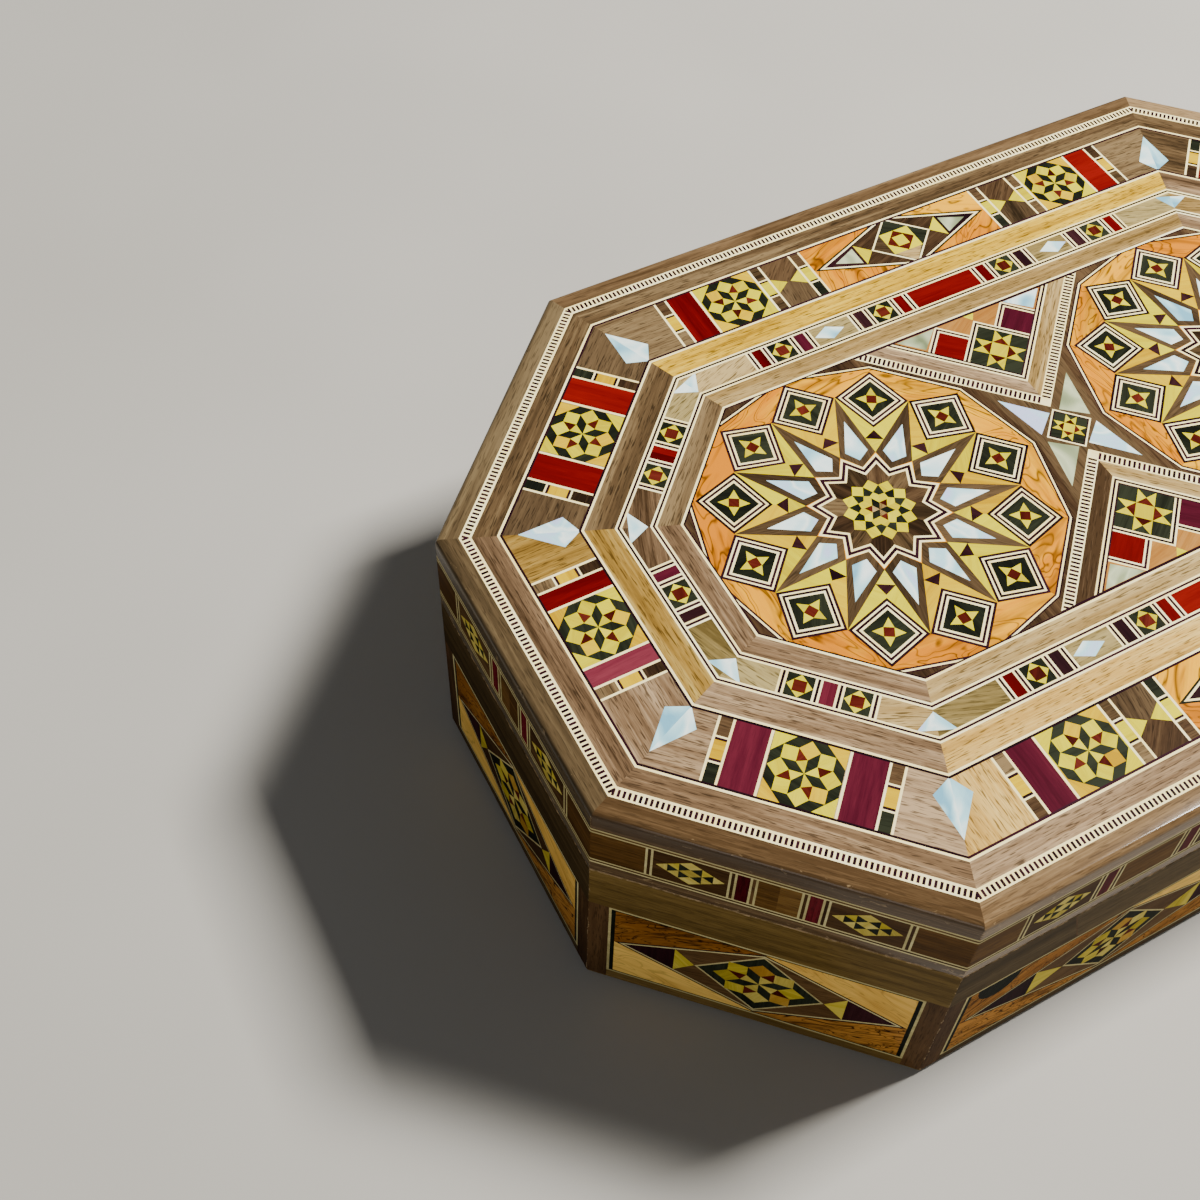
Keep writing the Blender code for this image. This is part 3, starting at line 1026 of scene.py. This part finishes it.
def long_picture(inlay, bottom, top):
    """The middle of a long side: olive wood with a long lozenge, whose diamond holds a framed square."""
    level, tall = (bottom + top) / 2, (top - bottom) / 2
    put = spot(0, level)
    for x in (-1, 1):
        inlay.lay(put(*quarter(x * LONG_PICTURE_HALF, tall)), "olive", 60 + 15 * x)
        inlay.lay(put(*quarter(x * LONG_PICTURE_HALF, -tall)), "olive", 20 * x)
    lozenge = put(*diamond(LONG_PICTURE_HALF - 0.2, 10.0))
    inner = inlay.bordered(lozenge, ((0.5, "black"), (0.5, "cream"), (0.3, "line")), "deep_walnut", 20)
    reach, depth = max(p[0] for p in inner), max(p[1] for p in inner) - level
    base = 13.1
    rise = depth * (1 - base / reach)
    for x in (-1, 1):
        inlay.lay(put(*spike(x * reach, x * base, rise)), "plum")
        inlay.lay(put(*spike(x * (reach - 2.6), x * (base + 0.6), rise * 0.78)), "green_shell")
        inlay.lay(put((x * (base - 0.2), rise), (x * (base - 0.2), -rise), (x * 9.1, 0)), "yellow")
    inlay.bordered(put(*diamond(9.3, depth + 0.4)), ((0.45, "cream"),), "black")
    wide, high = 4.4, 3.95
    inlay.lay(put(*spike(8.5, wide, high)), "umber")
    inlay.lay(put((0, depth - 0.3), (wide - 0.4, high), (0.4 - wide, high)), "tan")
    inlay.lay(put(*square(wide, high)), "yellow")
    inlay.lay(put(*diamond(4.15, high)), "brick")
    inlay.lay(put(*square(1.7, 1.8)), "yellow")


def bow_tie(inlay, low, high, bottom, top):
    """Two yellow arrows whose points nearly meet, between pieces of walnut."""
    put = spot((low + high) / 2, (bottom + top) / 2)
    half, tall = (high - low) / 2, (top - bottom) / 2
    inlay.lay(put(*oblong(-half, half, 0, tall)), "umber", 80)
    inlay.lay(put(*oblong(-half, half, 0, -tall)), "deep_walnut", 45)
    for way in (-1, 1):
        inlay.lay(put((way * half, 2.6), (way * 0.5, 0), (way * half, -2.6)), "yellow")


def wide_band(side):
    """One side of the wide ring of tile pictures."""
    near, far = OUTER_MOSAIC_AT, MIDDLE_WALNUT_AT
    bottom, top = near + CREAM + DARK, far - CREAM - DARK
    level, tile = (bottom + top) / 2, top - bottom
    shift = PICTURE_SHIFT.get(side, 0.0)
    line = (0.6, "cream", 90)

    def rosetted(*place):
        rosette_tile(*place, turned=int(side in TURNED))

    inlay = Inlay([strip(side, near, far)], "walnut", 0)
    for way, block, corner in zip((-1, 1), BLOCKS[side], CORNER_WOODS[side]):
        inlay.box(0, way * HALF[side], near, far, corner, 90 if corner in ACROSS_THE_GRAIN else 0)
        if side in LONG_SIDES:
            steps = ((LONG_PICTURE_HALF, None), (3.6, ladder("deep_walnut", "black")), (8.6, bow_tie),
                     (3.6, ladder("brown_walnut", "brown_walnut")), (tile + 0.6, rosetted), line,
                     (6.9, block, 0 if block == "red" else 90), (3.7, ladder("deep_walnut", "brown_walnut")))
        elif side in END_SIDES:
            steps = ((tile / 2, None), line, (4.6, block, 90), (3.7, ladder("brown_walnut", "deep_walnut")))
        else:
            steps = ((tile / 2 + 0.15, None), line, (7.7, block, 90), (3.8, ladder("black", "deep_walnut")))
        inlay.row(shift, way, bottom, top, steps)
    if side in LONG_SIDES:
        long_picture(inlay, bottom, top)
        for way in (-1, 1):
            for u in (28.8, 41.0):
                inlay.box(way * (u - 1.2), way * (u + 1.2), level - 2.3, level + 2.3, "yellow", 0)
    else:
        rosetted(inlay, shift - tile / 2, shift + tile / 2, bottom, top)
    for way in (-1, 1):
        shell_kite(inlay, side, way, bottom, tile / math.cos(math.radians(HALF_TURN)) + 1.3)
    inlay.lines(HALF[side], near, 1, ((CREAM, "cream"), (DARK, "line")))
    inlay.lines(HALF[side], top, 1, ((DARK, "line"), (CREAM, "cream")))
    build_plate("top_mosaic_" + side, inlay, on_top(side), "walnut")


# The grounds of the narrow band at both ends of a side
NARROW_WOODS = {"end_left": ("walnut", "drab"), "back_left": ("drab", "walnut"), "back": ("drab", "tan")}


def narrow_band():
    """The ring of small tiles between double lines."""
    near, far = INNER_MOSAIC_AT, INNER_WALNUT_AT
    bottom, top = near + 1.5, far - 1.5
    gap = (0.53, "cream", 90), (0.6, "line", 90), (0.53, "cream", 90)
    small, crimson = (6.2, small_tile), (2.7, "crimson", 90)
    red_half = 9.9
    ring = Piece()
    for side in SIDES:
        inlay = Inlay([strip(side, near, far)], "walnut", 0)
        half = HALF[side] - far * MITRE
        shift = PICTURE_SHIFT.get(side, 0.0) / 2
        for way, ground in zip((-1, 1), NARROW_WOODS.get(side, ("drab", "tan"))):
            inlay.box(0, way * (half + 4), near, far, ground, 20 * way)
            if side in LONG_SIDES:
                steps = ((red_half, None), crimson, small, (2.8, "plum", 90), (11.6, "drab", 0),
                         (2.9, "plum" if way < 0 else "maroon", 90), small, crimson)
            elif side in END_SIDES:
                steps = ((small[0] / 2, None), (2.5, "maroon" if way < 0 else "plum", 90))
            else:
                steps = ((2.0, "crimson", 90) if "back" in side else (1.6, "wine", 90), (6.1, small_tile))
            inlay.row(shift, way, bottom, top, steps, gap)
            if side in LONG_SIDES:
                inlay.lay(spot(way * 35.2, (bottom + top) / 2)(*diamond(4.3, 2.2)), "shell")
            put = spot(way * half, far, 90 + way * HALF_TURN)
            inlay.lay(put(*spike(-2.1, -6.6, 4.5)), "shell")
        if side in END_SIDES:
            small_tile(inlay, shift - small[0] / 2, shift + small[0] / 2, bottom, top)
        if side in LONG_SIDES:
            inlay.box(-red_half, red_half, bottom, top, "red", 0)
        for start, way in ((near, 1), (far, -1)):
            inlay.lines(HALF[side], start, way, ((0.5, "cream"), (0.52, "line"), (0.5, "cream")))
        ring.plate(inlay, on_top(side))
    ring.build("inner_mosaic_band")


# The middle of the top

def flat_place(u, v, depth=0.0):
    return Vector((u, v, TOP - depth)) * MM


def star_block(inlay, put):
    """A square frame of double lines with a small four-pointed star on black."""
    frame_lines = (0.62, "line"), (0.46, "cream"), (0.6, "line"), (0.54, "cream")
    inlay.bordered(put(*diamond(9.0)), frame_lines, "black")
    for angle in range(0, 360, 90):
        inlay.lay(put(polar(3.8, angle), polar(1.75, angle + 45), polar(1.75, angle - 45)), "pale")
    inlay.lay(put(*square(1.22)), "brick")


# Distances in the star from its middle: the framed squares, the notches between them, the foot of the yellow
# rays, the plum tips in them, and the notches and points of the dark star in the middle
BLOCKS_AT, NOTCH_AT, RAY_FOOT, TIP_AT, CORE_NOTCH, CORE_POINT = 33.8, 24.8, 17.2, 21.2, 12.7, 16.8
# The same in the mosaic at the star's heart: the points and notches of its black ring, and its inner corners
HEART_POINT, HEART_NOTCH, HEART_CORNER = 7.195, 5.09, 4.25


def star(inlay, x):
    """The twelve-pointed star with its ring of framed squares, on pieces of olive wood."""
    put = spot(x, 0)
    turns = range(0, 360, 30)
    for reach, kind in ((43.45, "line"), (43.1, "cream"), (42.65, "line"), (42.2, "olive")):
        corner = reach / math.cos(math.radians(15))
        for angle in turns:
            inlay.lay(put((0, 0), polar(corner, angle), polar(corner, angle + 30)), kind,
                      angle + 105 + chance.uniform(-25, 25))
    for index, angle in enumerate(turns):
        inlay.lay(put(polar(34.9, angle + 15), polar(RAY_FOOT, angle), polar(CORE_NOTCH, angle + 15),
                      polar(RAY_FOOT, angle + 30)), "walnut_edge", angle + 15)
        turned = spot(x, 0, angle)
        for y, kinds in ((9.05, ("yellow", "amber")), (-9.05, ("amber", "yellow", "yellow"))):
            inlay.lay(turned((BLOCKS_AT, y), (NOTCH_AT, 0), (RAY_FOOT, 0)), kinds[index % len(kinds)])
        inlay.lay(turned(*spike(RAY_FOOT, TIP_AT, 2.15)), ("amber", "yellow", "pale")[index % 3])
        inlay.lay(turned(*spike(24.0, TIP_AT, 2.3)), "plum")
        between = spot(x, 0, angle + 15)
        inlay.lay(between((27.2, 0), (17.6, 2.8), (14.9, 0), (17.6, -2.8)), "shell", angle + 15)
    for angle in turns:
        star_block(inlay, spot(*put(polar(BLOCKS_AT, angle))[0], angle))
    for size, kind in ((1.0, "cream"), (0.945, "line"), (0.868, "cream"), (0.8126, None)):
        for index, angle in enumerate(turns):
            inlay.lay(put((0, 0), polar(CORE_NOTCH * size, angle - 15), polar(CORE_POINT * size, angle),
                          polar(CORE_NOTCH * size, angle + 15)),
                      kind or ("deep_walnut", "brown_walnut")[index % 2], angle)
    for angle in turns:
        before, after = polar(HEART_NOTCH, angle - 15), polar(HEART_NOTCH, angle + 15)
        near, following = polar(HEART_CORNER, angle), polar(HEART_CORNER, angle + 30)
        inlay.lay(put(polar(HEART_POINT, angle), after, near, before), "black")
        inlay.lay(put((0, 0), near, after, following), "pale")
        inlay.lay(spot(*put(polar(6.95, angle + 15))[0], angle + 15)(*diamond(1.862)), "yellow")
    for angle in range(0, 360, 60):
        first, tip, second = polar(2.0, angle), polar(3.6, angle + 30), polar(2.0, angle + 60)
        odd = angle % 120
        inlay.lay(put((0, 0), first, tip, second), "black" if odd else "brick")
        if not odd:
            inlay.lay(put((0, 0), first, second), "tan")


def star_panel(side):
    way = -1 if side == "left" else 1
    x_max, y_max = HALF_LENGTH - FIELD_AT, HALF_WIDTH - FIELD_AT
    cut = CORNER_CUT - FIELD_AT * (2 - ROOT)
    base, flare = y_max - NOTCH_TIP, NOTCH_TIP + WAIST_FLARE
    outline = [(way * x, y) for x, y in (
        (base, -y_max), *ring_corners(x_max, y_max, cut)[:4], (base, y_max),
        (WAIST_FLARE, flare), (WAIST, 0), (WAIST_FLARE, -flare))]
    inlay = Inlay([outline], "deep_walnut", 90)
    star(inlay, way * STAR_AT)
    build_plate("star_panel_" + side, inlay, flat_place, "olive")


# The arms of the pointed panels: their toothed edge and the walnut beside it; half the sizes of the squares
TOOTHED = 2.75
ARM = 3.8
CHECKER_HALF = 9.1
BLOCK_HALF = 5.3


def side_panel(name, turn, flip):
    """The pointed panel that cuts in from a long side: toothed and plain arms round coloured squares."""
    put = spot(0, 0, turn)
    y_max = HALF_WIDTH - FIELD_AT
    base = y_max - NOTCH_TIP
    inlay = Inlay([put((0, NOTCH_TIP), (base, y_max), (-base, y_max))], "peach", 10)
    inner = NOTCH_TIP + (TOOTHED + ARM + DOUBLE + 0.25) * ROOT
    level = inner + CHECKER_HALF
    inlay.lay(put((0, inner), (0, y_max), (-base, y_max)), "peach", 30)
    inlay.lay(put((0, y_max - 2.3), (1.8, y_max), (-1.8, y_max)), "yellow")
    frame_width = (DOUBLE - 0.15) * ROOT
    frame_lines = (0.47, "cream"), (0.56, "line"), (0.47, "cream")
    out = CHECKER_HALF + frame_width
    far = out + level + BLOCK_HALF
    block_x, block_y = (far - inner - BLOCK_HALF) / 2, (far + inner + BLOCK_HALF) / 2
    woods = (("red", "green_shell"), ("maroon", "shell"))
    for way, (block, pearl) in zip((-1, 1), woods[::-1] if flip else woods):
        spread = y_max - inner
        foot = (spread + block_x) / 2
        inlay.lay(put((way * (spread - 0.9), y_max - 0.4), (way * (block_x + 0.6), y_max - 0.4),
                      (way * (foot + 0.1), inner + foot + 0.75)), pearl)
        corners = [(way * block_x + x, block_y + y) for x, y in diamond(BLOCK_HALF + frame_width)]
        inlay.bordered(put(*corners), frame_lines, block, 40 * way)
    inlay.bordered(put(*[(x, level + y) for x, y in diamond(out)]), frame_lines, "black")
    checker_tile(inlay, spot(*put((0, level))[0], turn + 45), CHECKER_HALF / ROOT)
    for way in (-1, 1):
        def bar(start, end, kind):
            near, far = start * ROOT, end * ROOT
            inlay.lay(put((0, NOTCH_TIP + near), (way * (base - near), y_max), (way * (base - far), y_max),
                          (0, NOTCH_TIP + far)), kind, grain)
        grain = turn + 90 - way * 45
        bar(0, TOOTHED, "cream")
        bar(TOOTHED, TOOTHED + ARM, "walnut" if (way < 0) != flip else "tan")
        start = TOOTHED + ARM
        for width, kind in ((0.48, "cream"), (0.54, "line"), (0.48, "cream"), (0.4, "line")):
            bar(start, start + width, kind)
            start += width
        length = base * ROOT
        count = round(length / TOOTH_PITCH)
        low, high = 0.32, 2.43
        for index in range(count):
            left, right = ((index + 0.5) * length / count + half for half in (-TOOTH / 2, TOOTH / 2))
            tooth = spot(0, NOTCH_TIP, 45)(*oblong(left, right, low, high))
            if all(x > 0 for x, y in tooth):
                inlay.lay(put(*[(way * x, y) for x, y in tooth]), "line", grain + 90)
    inlay.lay(put(*oblong(-base, base, y_max - 0.3, y_max)), "line", 0)
    build_plate(name, inlay, flat_place, "walnut")


def middle_panel():
    """The waisted panel between the stars: shell triangles round a small tile."""
    flare = NOTCH_TIP + WAIST_FLARE
    quarters = [(x, y) for x in (-1, 1) for y in (-1, 1)]
    inlay = Inlay([[(0, 0), (0, y * NOTCH_TIP), (x * WAIST_FLARE, y * flare), (x * WAIST, 0)]
                   for x, y in quarters], "walnut_edge", 90)
    for x, y in quarters:
        inlay.lay([(x * 1.5, y * 5.9), (x * 10.5, y * 14.9), (x * 7.4, y * 1.2)],
                  "green_shell" if x == y else "shell")
    put = spot(0, 0, 45)
    tile = 4.0
    for half, kind in ((tile + 0.75, "cream"), (tile + 0.35, "line")):
        inlay.lay(put(*square(half)), kind)
    checker_tile(inlay, put, tile)
    build_plate("middle_panel", inlay, flat_place, "walnut")


for name in SIDES:
    body_wall(name)
    body_panel(name)
    lid_wall(name)
    lid_band(name)
    wide_band(name)

dentil_ring()
plain_ring("outer_walnut_band", OUTER_WALNUT_AT, OUTER_MOSAIC_AT,
           {"rest": "walnut", "back": "brown_walnut", "back_left": "brown_walnut",
            "back_right": "brown_walnut"},
           {"end_left": 0.38, "front_left": 0.55, "back": 0.55, "back_left": 0.6, "front": 0.7})
plain_ring("middle_walnut_band", MIDDLE_WALNUT_AT, INNER_MOSAIC_AT,
           {"rest": "walnut", "back": "golden", "front": "fawn", "end_left": "brown_gold",
            "end_right": "golden", "back_left": "brown_walnut"},
           {"end_left": 0.6, "front_left": 0.7, "back": 0.6, "back_left": 0.6, "front": 0.7})
narrow_band()
plain_ring("inner_walnut_band", INNER_WALNUT_AT, FIELD_AT,
           {"rest": "walnut", "back": "tan", "front": "tan", "back_left": "brown_walnut"},
           {"end_left": 0.4, "front_left": 0.6, "back": 0.5, "back_left": 0.8, "front": 0.7},
           ((0.55, "cream"), (0.4, "line")))
star_panel("left")
star_panel("right")
side_panel("side_panel_back", 0, False)
side_panel("side_panel_front", 180, True)
middle_panel()

for name in ("base_board", "lid_board"):
    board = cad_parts[name]
    board.data.materials.clear()
    board.data.materials.append(WOODS["inside"])


# Floor, light and camera

FLOOR_HALF = 3.0


def floor_material():
    net = Net("pale_floor")
    place = net.add("TexCoord").outputs["Object"]
    patches = net.noise(place, detail=2.0, scale=6.0)
    colour = net.ramp(patches, (0.3, linear((170, 169, 166))), (0.7, linear((178, 177, 174))))
    roughness = net.sum(net.noise(place, detail=2.0, scale=40.0), 0.1, 0.75)
    return net.finish(colour, roughness, net.noise(place, scale=500.0), 0.03, 0.0)


floor_mesh = bpy.data.meshes.new("floor")
floor_mesh.from_pydata([(x, y, 0) for x, y in square(FLOOR_HALF)], [], [(0, 1, 2, 3)])
floor_mesh.materials.append(floor_material())
floor = bpy.data.objects.new("floor", floor_mesh)
bpy.context.scene.collection.objects.link(floor)

world = bpy.data.worlds.new("studio")
bpy.context.scene.world = world
world.use_nodes = True
world.node_tree.nodes["Background"].inputs["Color"].default_value = (0.95, 0.97, 1.0, 1.0)
world.node_tree.nodes["Background"].inputs["Strength"].default_value = 0.09


LIT_PLACE = (0, 0, 0.05)


def area_light(name, place, size, power, colour):
    """A square light that faces the box."""
    light = bpy.data.lights.new(name, "AREA")
    light.shape = "RECTANGLE"
    light.size = light.size_y = size
    light.energy = power
    light.color = colour
    lamp = bpy.data.objects.new(name, light)
    lamp.location = place
    lamp.rotation_euler = (Vector(LIT_PLACE) - Vector(place)).to_track_quat("-Z", "Y").to_euler()
    bpy.context.scene.collection.objects.link(lamp)


area_light("key", (0.90, -0.06, 1.40), 0.34, 76, (1.0, 0.95, 0.86))
area_light("fill", (-0.75, -0.80, 0.34), 0.5, 2.3, (1.0, 0.96, 0.90))

# The camera: its place and the directions of its view, fitted to the box in the photo
CAMERA_AT = Vector((-0.22565, -0.17694, 0.38731))
RIGHT = Vector((0.87803, -0.47707, 0.0384))
DOWN = Vector((-0.34843, -0.69217, -0.63206))
AHEAD = Vector((0.32811, 0.54159, -0.77397))
camera_data = bpy.data.cameras.new("camera")
camera_data.sensor_width = 36.0
camera_data.lens = 50.55
camera_data.shift_x = -0.04
camera_data.shift_y = -0.12
camera_data.clip_start = 0.01
camera = bpy.data.objects.new("camera", camera_data)
turn = Matrix((RIGHT, -DOWN, -AHEAD)).transposed().to_4x4()
camera.matrix_world = Matrix.Translation(CAMERA_AT) @ turn
bpy.context.scene.collection.objects.link(camera)
bpy.context.scene.camera = camera

bpy.context.view_layer.update()
